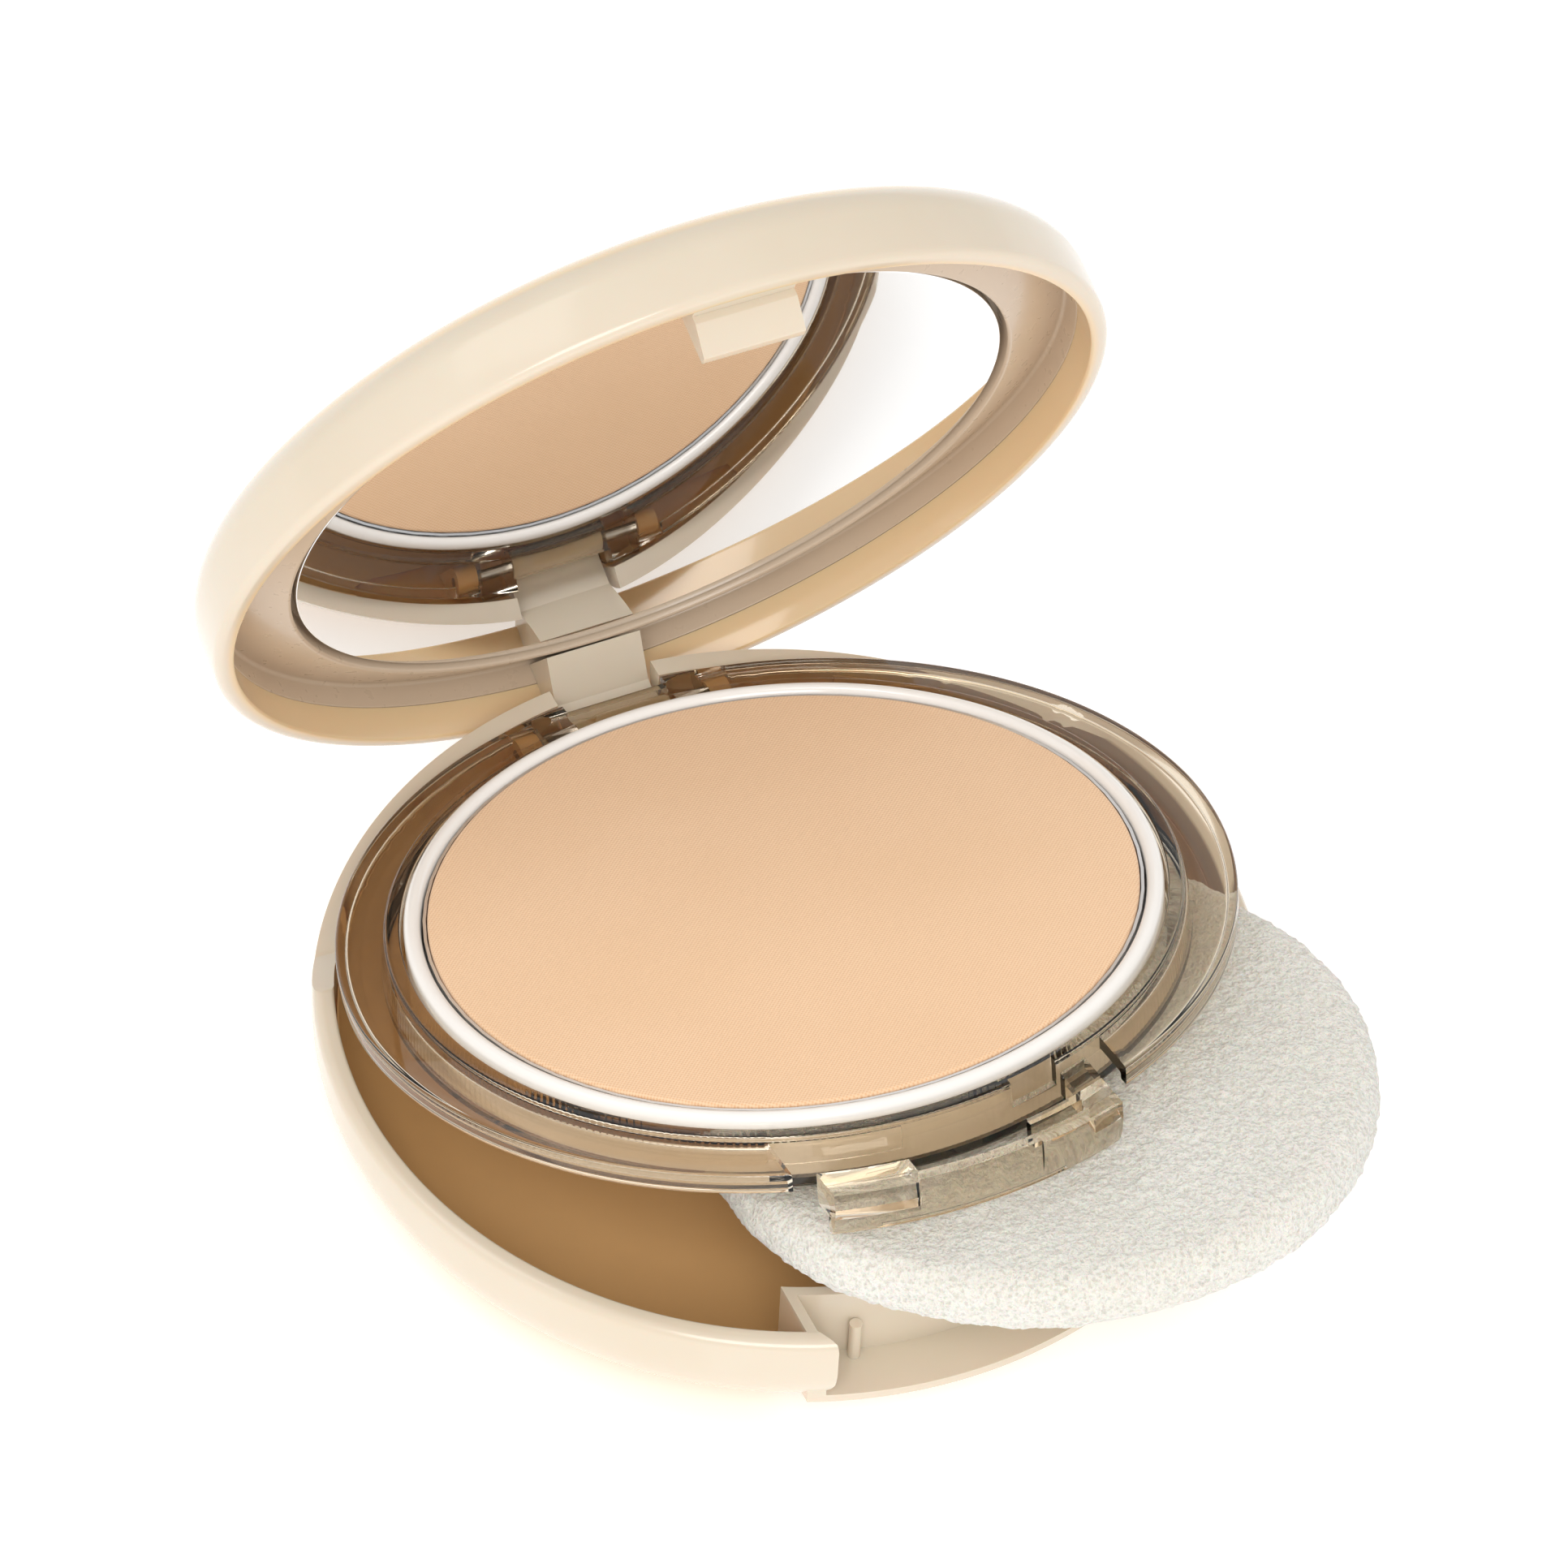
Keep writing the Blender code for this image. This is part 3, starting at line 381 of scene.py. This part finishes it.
carve(dish, [
    block("dish_front", band(31.8, 40.0, -14.2, 13.8), -2.0, ABOVE, tan),
    block("dish_rear", [(-18.3, 29.5), (18.3, 29.5), (18.3, 40.0), (-18.3, 40.0)], -2.0, ABOVE, tan),
])
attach(dish, "base")
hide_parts("base_inner_dish")

# A blank label of matt paper is stuck in the recess underneath. It lies flush with the ring round it,
# which the compact stands on.


def coat(name, material):
    """Give one of the frame's own pieces its material."""
    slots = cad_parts[name].data.materials
    slots.clear()
    slots.append(material)


coat("bottom_label", plastic("label paper", (0.86, 0.84, 0.80), (0.83, 0.81, 0.76), 0.7)[0])

# Two short pins of bright drawn steel carry the hinge. Each runs from an ear of the base through the
# tray's knuckle into the lid's barrel.
steel = plastic("steel", (0.62, 0.60, 0.57), (0.54, 0.52, 0.50), 0.25, Metallic=1.0)[0]
for name in ("hinge_pin_left", "hinge_pin_right"):
    coat(name, steel)

# The tray is one thin glossy moulding of smoky clear plastic, so what lies under it shows through in
# brown. A cup in its middle holds the refill, and knuckles behind let it lift on the hinge pins.
TRAY = 14.6
TRAY_TOP = 11.27
TRAY_RADIUS = 36.0
REFILL_ROOM = 30.5
CUP_FLOOR = 7.2
REAR_CUT = 0.8
KNUCKLE_RADIUS = 2.9
EAR_ROOM_RADIUS = 1.9
BARREL_ROOM_RADIUS = 1.75
smoke = plastic(
    "smoke", (0.91, 0.81, 0.66), (0.88, 0.77, 0.62), 0.03, Transmission_Weight=1.0, IOR=1.42,
)[0]
profile = rounded(
    [(REFILL_ROOM, 11.62), (31.75, 11.62), (31.75, TRAY_TOP), (TRAY_RADIUS, TRAY_TOP), (TRAY_RADIUS, 9.57),
     (35.1, 9.57), (35.1, 10.17), (31.75, 10.17), (31.75, 6.6), (25.0, 6.6), (25.0, CUP_FLOOR),
     (REFILL_ROOM, CUP_FLOOR)],
    [0.15, 0.25, 0.15, 0.3, 0.15, 0.1, 0.2, 0.3, 0.6, 0.1, 0.1, 0.2], 4,
)
grid = turned(profile, 320)
reach = np.hypot(grid[..., 0], grid[..., 1])
behind = (grid[..., 1] > 0) & (reach > 31.9)
grid[..., :2] *= np.where(behind, 1 - REAR_CUT * grid[..., 1] / reach**2, 1)[..., None]
tray = show("smoky_tray", lifted(grid, TRAY), quads(*grid.shape[:2]), smoke)


def hinge_round(name, radius, low, high):
    """Solid round bar on the hinge line, from low to high along X, lifted with the tray."""
    return block(name, curve(*HINGE[1:], radius, radius, 0, 352, 44), low, high, smoke, TRAY, "X")


knuckles = []
ear_rooms = []
for side in (-1, 1):
    knuckle_ends = sorted((side * 4.45, side * 7.35))
    room_ends = sorted((side * 7.5, side * 9.7))
    knuckles.append(hinge_round(f"knuckle_{len(knuckles)}", KNUCKLE_RADIUS, *knuckle_ends))
    ear_rooms.append(hinge_round(f"ear_room_{len(knuckles)}", EAR_ROOM_RADIUS, *room_ends))
carve(tray, [block("latch_room", band(31.8, 41.0, -14.2, 13.8), 3.0, 13.0, smoke, TRAY)])
carve(tray, [
    block("front_tier", band(31.0, 31.95, -14.3, -4.4), 9.2, TRAY_TOP, smoke, TRAY),
    block("bridge", band(31.1, 34.35, 9.6, 12.1), 8.3, 10.4, smoke, TRAY),
    *knuckles,
], "UNION")
groove = [(-13.1, -40), (-12.75, -40), (-12.75, -31.2), (-13.1, -31.2)]
arm_room = [(-4.45, 33.69), (4.45, 33.69), (4.45, 40), (-4.45, 40)]
carve(tray, [
    block("pocket", band(31.05, 32.0, 5.0, 9.2), 9.4, 13.0, smoke, TRAY),
    block("groove", groove, 9.0, 13.0, smoke, TRAY),
    block("arm_room", arm_room, 3.0, 13.0, smoke, TRAY),
    hinge_round("barrel_room", BARREL_ROOM_RADIUS, -4.45, 4.45),
    block("refill_room", curve(0, 0, REFILL_ROOM, REFILL_ROOM, 0, 359, 320), CUP_FLOOR, 13.0, smoke, TRAY),
    *ear_rooms,
])
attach(tray, "tray")
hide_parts("tray")

# The latch is one strip of the same smoky plastic, moulded with the tray and folded back on itself at
# its right end, where it springs. Its moulded edges are barely rounded.
EDGE = 0.12
# Painted light: the latch is the tray's plastic, but its smoke is tinted lighter so that it shows brighter.
clear = plastic(
    "latch smoke", (0.95, 0.86, 0.71), (0.93, 0.82, 0.66), 0.03, Transmission_Weight=1.0, IOR=1.38,
)[0]
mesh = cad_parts["latch_button"].data.copy()
shape = bmesh.new()
shape.from_mesh(mesh)
bmesh.ops.remove_doubles(shape, verts=shape.verts, dist=2e-6)
bmesh.ops.dissolve_limit(shape, angle_limit=math.radians(1), verts=shape.verts, edges=shape.edges)
shape.to_mesh(mesh)
shape.free()
mesh.materials.clear()
mesh.materials.append(clear)
mesh.shade_smooth()
mesh.set_sharp_from_angle(angle=math.radians(30))
latch = bpy.data.objects.new("smoky_latch_button", mesh)
bpy.context.collection.objects.link(latch)
bevel = latch.modifiers.new("soft edges", "BEVEL")
bevel.width = EDGE * MM
bevel.segments = 2
bevel.limit_method = "ANGLE"
bevel.angle_limit = math.radians(30)
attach(latch, "latch")
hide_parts("latch_button")

# The refill is a white glossy cup whose rolled rim shows as a ring round the powder. It sits in the
# tray's cup; an aluminium pan is glued in it and shows as a thin bright edge.
RING_RADIUS = 30.2
RING_ROLL = 0.7
white = plastic(
    "white", (0.92, 0.88, 0.83), (0.90, 0.86, 0.81), 0.16, Coat_Weight=0.4, Coat_Roughness=0.05,
)[0]
profile = np.concatenate([
    [(0.0, 7.3), (RING_RADIUS, 7.3)],
    curve(29.5, 11.7, RING_ROLL, RING_ROLL, 0, 180, 14),
    [(28.8, 7.9), (0.0, 7.9)],
])
ring = lathe("refill_ring", profile, white, TRAY)
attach(ring, "tray")
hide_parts("refill_holder")
coat("powder_pan", plastic("aluminium", (0.80, 0.80, 0.80), (0.72, 0.72, 0.72), 0.3, Metallic=1.0)[0])
coat("pan_glue_pad", plastic("glue", (0.75, 0.74, 0.70), (0.70, 0.69, 0.65), 0.6)[0])

# The powder is pressed into the pan through a cloth, which leaves a fine plain weave all over its matt
# peach face. Its edge is slightly rounded where it meets the pan.
THREAD = 0.36
WEAVE_DEPTH = 0.04
powder, place, shader, colour = plastic(
    "powder", (0.93, 0.65, 0.42), (0.90, 0.62, 0.39), 0.75, Sheen_Weight=0.2, Specular_IOR_Level=0.2,
)
flat = place.shut(TRAY)
turns = 2 * math.pi / (THREAD * MM)
warp = (flat.part(0) * turns).wave()
weft = (flat.part(1) * turns).wave()
weave = warp * weft * (place.noise(2500.0, 2.0) * 0.6 + 0.7)
grain = place.noise(9000.0, 3.0)
# Painted shade: the weave's hollows are coloured darker as well as sunk by the bump.
weave.rise(-0.9, 0.5).blend((0.80, 0.49, 0.28, 1.0), colour).feed(shader, "Base Color")
place.bump(weave * 0.5 + grain * 0.7, WEAVE_DEPTH * MM, 0.9).feed(shader, "Normal")
face_outline = rounded([(0.0, 8.4), (28.28, 8.4), (28.28, 12.2), (0.0, 12.2)], [0, 0.1, 0.3, 0])
cake = lathe("powder", face_outline, powder, TRAY, 256)
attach(cake, "tray")
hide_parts("powder_cake")

# The lid is a domed shell of the same glossy cream. A hinge block with its barrel behind and a square
# catch in front are moulded on it; the shade of its liner is painted into the shell as a darker tan.
LID = 70.2
LID_RIM = 13.0
LID_RABBET = 36.45
DOME_CENTRE = 30.05
DOME_LEVEL = 17.1
LID_TOP = 22.1
BLOCK_HALF = 4.2
BARREL_RADIUS = 1.5
lid_cream, place, shader, colour = glossy_cream("lid cream")
# Painted shade: the shell turns tan within 36.6 mm of its axis, on the outside of the dome as well as inside.
rim_share = place.shut(LID).reach().rise(36.6 * MM, 37.3 * MM)
rim_share.blend((0.78, 0.58, 0.34, 1.0), colour).feed(shader, "Base Color")
rim = rounded(
    [(LID_RABBET, DOME_LEVEL), (LID_RABBET, LID_RIM), (BODY_RADIUS, LID_RIM), (BODY_RADIUS, DOME_LEVEL)],
    [0, 0.25, 0.75, 0],
)
profile = np.concatenate([
    rim[1:-1],
    curve(DOME_CENTRE, DOME_LEVEL, 8.0, 5.0, 0, 90),
    [(0.0, LID_TOP), (0.0, 20.8)],
    curve(DOME_CENTRE, DOME_LEVEL, 7.2, 3.7, 90, 0),
    [(37.25, 16.0), (LID_RABBET, 16.0)],
])
lid = lathe("lid", profile, lid_cream, LID)
cream = glossy_cream("cream")[0]
hook_side = rounded(
    [(-37.3, 15.8), (-37.3, 13.1), (-35.55, 13.1), (-35.55, 12.45), (-34.2, 10.1), (-33.35, 10.1),
     (-33.35, 16.9), (-35.55, 17.6), (-36.6, 15.8)],
    [0, 0, 0, 0.2, 0.2, 0.15, 0, 0, 0],
)
hook = block("catch", hook_side, -BLOCK_HALF, BLOCK_HALF, cream, LID, "X")
arm_side = [(30.9, 15.9), (36.1, 17.8), (36.1, 15.8), (37.2, 15.8), (37.2, 13.1), (36.14, 12.7), (36.14, 9.35),
            (33.8, 7.23), (32.74, 8.29), (33.94, 9.79), (33.94, 12.7)]
arm = block("hinge_block", arm_side, -BLOCK_HALF, BLOCK_HALF, cream, LID, "X")
barrel_side = curve(*HINGE[1:], BARREL_RADIUS, BARREL_RADIUS, 0, 345, 23)
barrel = block("hinge_barrel", barrel_side, -BLOCK_HALF, BLOCK_HALF, cream, LID, "X")
for item in (lid, hook, arm, barrel):
    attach(item, "lid")
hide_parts("lid_shell")

# The inner lid is a satin beige moulding that clips into the shell. Its border slopes in to a recess,
# which frames the glass, and adhesive tape lies on the recess's floor.
LINER_RADIUS = 36.4
RECESS_RADIUS = 30.55
# Painted shade: the liner's beige is taken darker and warmer than its own colour, as it faces down in the lid.
blush = plastic(
    "blush", (0.60, 0.48, 0.355), (0.58, 0.455, 0.33), 0.28, Coat_Weight=0.2, Coat_Roughness=0.1,
)[0]
border = rounded(
    [(0.0, 18.37), (RECESS_RADIUS, 18.37), (RECESS_RADIUS, 15.9), (LINER_RADIUS, 18.3), (LINER_RADIUS, 16.05),
     (37.1, 16.05), (37.1, 18.0), (35.8, 19.1), (31.4, 19.17), (0.0, 19.17)],
    [0, 0, 0.25, 0.3, 0.1, 0, 0, 0, 0, 0],
)
liner = lathe("inner_lid", border, blush, LID)
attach(liner, "lid")
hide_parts("lid_liner")
coat("mirror_tape", plastic("tape", (0.75, 0.74, 0.70), (0.70, 0.69, 0.65), 0.6)[0])

# The mirror is a disc of glass, silvered behind, with its edges ground off by a hair. It lies in the
# inner lid's recess and is held by the tape.
GLASS_RADIUS = 30.05
GLASS_FACE = 16.47
GLASS_BACK = 17.97
glass = plastic("mirror", (0.90, 0.91, 0.92), (0.89, 0.90, 0.91), 0.025, Metallic=1.0)[0]
mirror_outline = rounded(
    [(0.0, GLASS_FACE), (GLASS_RADIUS, GLASS_FACE), (GLASS_RADIUS, GLASS_BACK), (0.0, GLASS_BACK)],
    [0, 0.12, 0.1, 0],
)
mirror = lathe("mirror_glass", mirror_outline, glass, LID)
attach(mirror, "lid")
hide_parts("mirror")

# The puff is a soft round pad covered in white flock, thick and springy. It is loose: it leans on the
# rim, where it is dented. Shut under the tray it would be flattened in the well; only its resting
# shape is built here.
PUFF_AT = np.array([11.3, -21.8, 16.61])
PUFF_LEAN = -12.2
PUFF_RADIUS = 26.5
PUFF_FACE = 24.3
PUFF_HALF = 2.75
EDGE_STEPS = 37
FACE_STEPS = 101
PUFF_SPOKES = 640
RIM_CLEAR = 12.85


def lattice(points, cell, seed):
    """Smooth noise from -1 to 1: random values on a cubic lattice, eased between its corners."""
    values = np.random.default_rng(seed).uniform(-1, 1, (64, 64, 64))
    scaled = points / cell
    low = np.floor(scaled).astype(int)
    ease = scaled - low
    ease = ease * ease * (3 - 2 * ease)
    total = 0
    for corner in range(8):
        bits = np.array([corner >> 2 & 1, corner >> 1 & 1, corner & 1])
        weight = np.prod(np.where(bits, ease, 1 - ease), -1)
        index = (low + bits) % 64
        total = total + weight * values[index[..., 0], index[..., 1], index[..., 2]]
    return total


# Outline of the pad: a flat face below, a full rounded edge, and a flat face above, turned once round.
turn = np.linspace(-np.pi / 2, np.pi / 2, EDGE_STEPS)
bulge = np.sign(np.sin(turn)) * np.abs(np.sin(turn)) ** 0.7
edge = np.stack([PUFF_FACE + (PUFF_RADIUS - PUFF_FACE) * np.cos(turn), PUFF_HALF * bulge], 1)
spokes = PUFF_FACE * np.linspace(0, 1, FACE_STEPS, endpoint=False)[:, None] ** 0.8
under = np.concatenate([spokes, 0 * spokes - PUFF_HALF], 1)
over = np.concatenate([spokes[::-1], 0 * spokes + PUFF_HALF], 1)
grid = turned(np.concatenate([under, edge, over]), PUFF_SPOKES)

# Each point moves out along its own way from the pad: gently for the swell, finely for the tufts.
out = np.stack([grid[..., 0] / PUFF_RADIUS, grid[..., 1] / PUFF_RADIUS, np.sign(grid[..., 2])], 2)
reach = np.hypot(grid[..., 0], grid[..., 1])
at_edge = np.clip((reach - PUFF_FACE) / (PUFF_RADIUS - PUFF_FACE), 0, 1)[..., None]
out = out * np.concatenate([at_edge, at_edge, 1 - 0.8 * at_edge], 2)
out /= np.maximum(np.linalg.norm(out, axis=2, keepdims=True), 1e-6)
swell = lattice(grid, 9.0, 3) * 0.22 + lattice(grid, 3.0, 4) * 0.08
tufts = lattice(grid, 0.62, 5) * 0.15 + lattice(grid, 0.33, 6) * 0.1
grid = (grid + out * (swell + tufts)[..., None]) @ about_x(PUFF_LEAN).T + PUFF_AT

# Where the pad lies over the rim of the base, its underside is pushed up to clear it.
spread = np.hypot(grid[..., 0], grid[..., 1])
over_rim = np.clip(1 - np.maximum(np.maximum(35.8 - spread, spread - 38.6), 0) / 1.5, 0, 1)
grid[..., 2] += np.maximum(RIM_CLEAR - grid[..., 2], 0) * over_rim

flock, place, shader, colour = plastic(
    "flock", (0.88, 0.85, 0.77), (0.85, 0.82, 0.73), 0.9,
    Sheen_Weight=0.6, Sheen_Roughness=0.6, Specular_IOR_Level=0.1,
    Subsurface_Weight=0.25, Subsurface_Scale=0.0015,
)
pits = place.noise(3000.0, 4.0)
# Painted shade: the flock's pits are coloured darker as well as sunk by the bump.
pits.rise(0.34, 0.52).blend((0.70, 0.67, 0.58, 1.0), colour).feed(shader, "Base Color")
place.bump(pits, 0.5 * MM).feed(shader, "Normal")
puff = show("puff", grid * MM, quads(*grid.shape[:2], loop=False), flock, 180.0)
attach(puff, "puff")
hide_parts("powder_puff")
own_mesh(puff)

# The studio is a white floor that gives back a little light, even white surroundings, and two soft
# lamps: a broad one above and behind to the left, and one from the front that fills the shadows.
FLOOR_HALF = 3.0
AIM = (0.0, 0.0, 0.02)
floor_material = plastic(
    "floor", (0.97, 0.97, 0.97), (0.96, 0.96, 0.96), 0.6,
    Emission_Color=(1.0, 1.0, 1.0, 1.0), Emission_Strength=0.25,
)[0]
corners = [(-FLOOR_HALF, -FLOOR_HALF, 0), (FLOOR_HALF, -FLOOR_HALF, 0),
           (FLOOR_HALF, FLOOR_HALF, 0), (-FLOOR_HALF, FLOOR_HALF, 0)]
floor = show("floor", corners, [(0, 1, 2, 3)], floor_material)

world = bpy.data.worlds.new("studio")
world.use_nodes = True
world.node_tree.nodes["Background"].inputs["Color"].default_value = (1.0, 1.0, 1.0, 1.0)
world.node_tree.nodes["Background"].inputs["Strength"].default_value = 0.82
bpy.context.scene.world = world


def lamp(name, place, aim, size, power):
    """Square soft light at place, facing aim."""
    light = bpy.data.lights.new(name, "AREA")
    light.shape = "SQUARE"
    light.size = size
    light.energy = power
    item = bpy.data.objects.new(name, light)
    item.location = place
    item.rotation_euler = (Vector(aim) - Vector(place)).to_track_quat("-Z", "Y").to_euler()
    bpy.context.collection.objects.link(item)


lamp("key_light", (-0.5, 0.25, 0.9), AIM, 0.5, 0.9)
lamp("front_light", (-0.22, -0.43, 0.52), AIM, 0.35, 1.9)

# The camera stands in front, a little to the left and well above, with a long lens. It looks back along
# its azimuth and elevation and is rolled slightly; colours are shown plain.
azimuth, elevation, roll = (math.radians(value) for value in (-26.83, 47.36, 3.24))
back = Vector((
    math.sin(azimuth) * math.cos(elevation),
    -math.cos(azimuth) * math.cos(elevation),
    math.sin(elevation),
))
level = Vector((math.cos(azimuth), math.sin(azimuth), 0.0))
upright = back.cross(level)
right = level * math.cos(roll) + upright * math.sin(roll)
up = upright * math.cos(roll) - level * math.sin(roll)
camera_data = bpy.data.cameras.new("camera")
camera_data.lens = 176.4
camera_data.sensor_width = 36.0
camera_data.clip_start = 0.01
camera = bpy.data.objects.new("camera", camera_data)
facing = Matrix((right, up, back)).transposed().to_4x4()
camera.matrix_world = Matrix.Translation(Vector((-0.18357, -0.36005, 0.47378))) @ facing
bpy.context.collection.objects.link(camera)
bpy.context.scene.camera = camera
bpy.context.scene.view_settings.view_transform = "Standard"
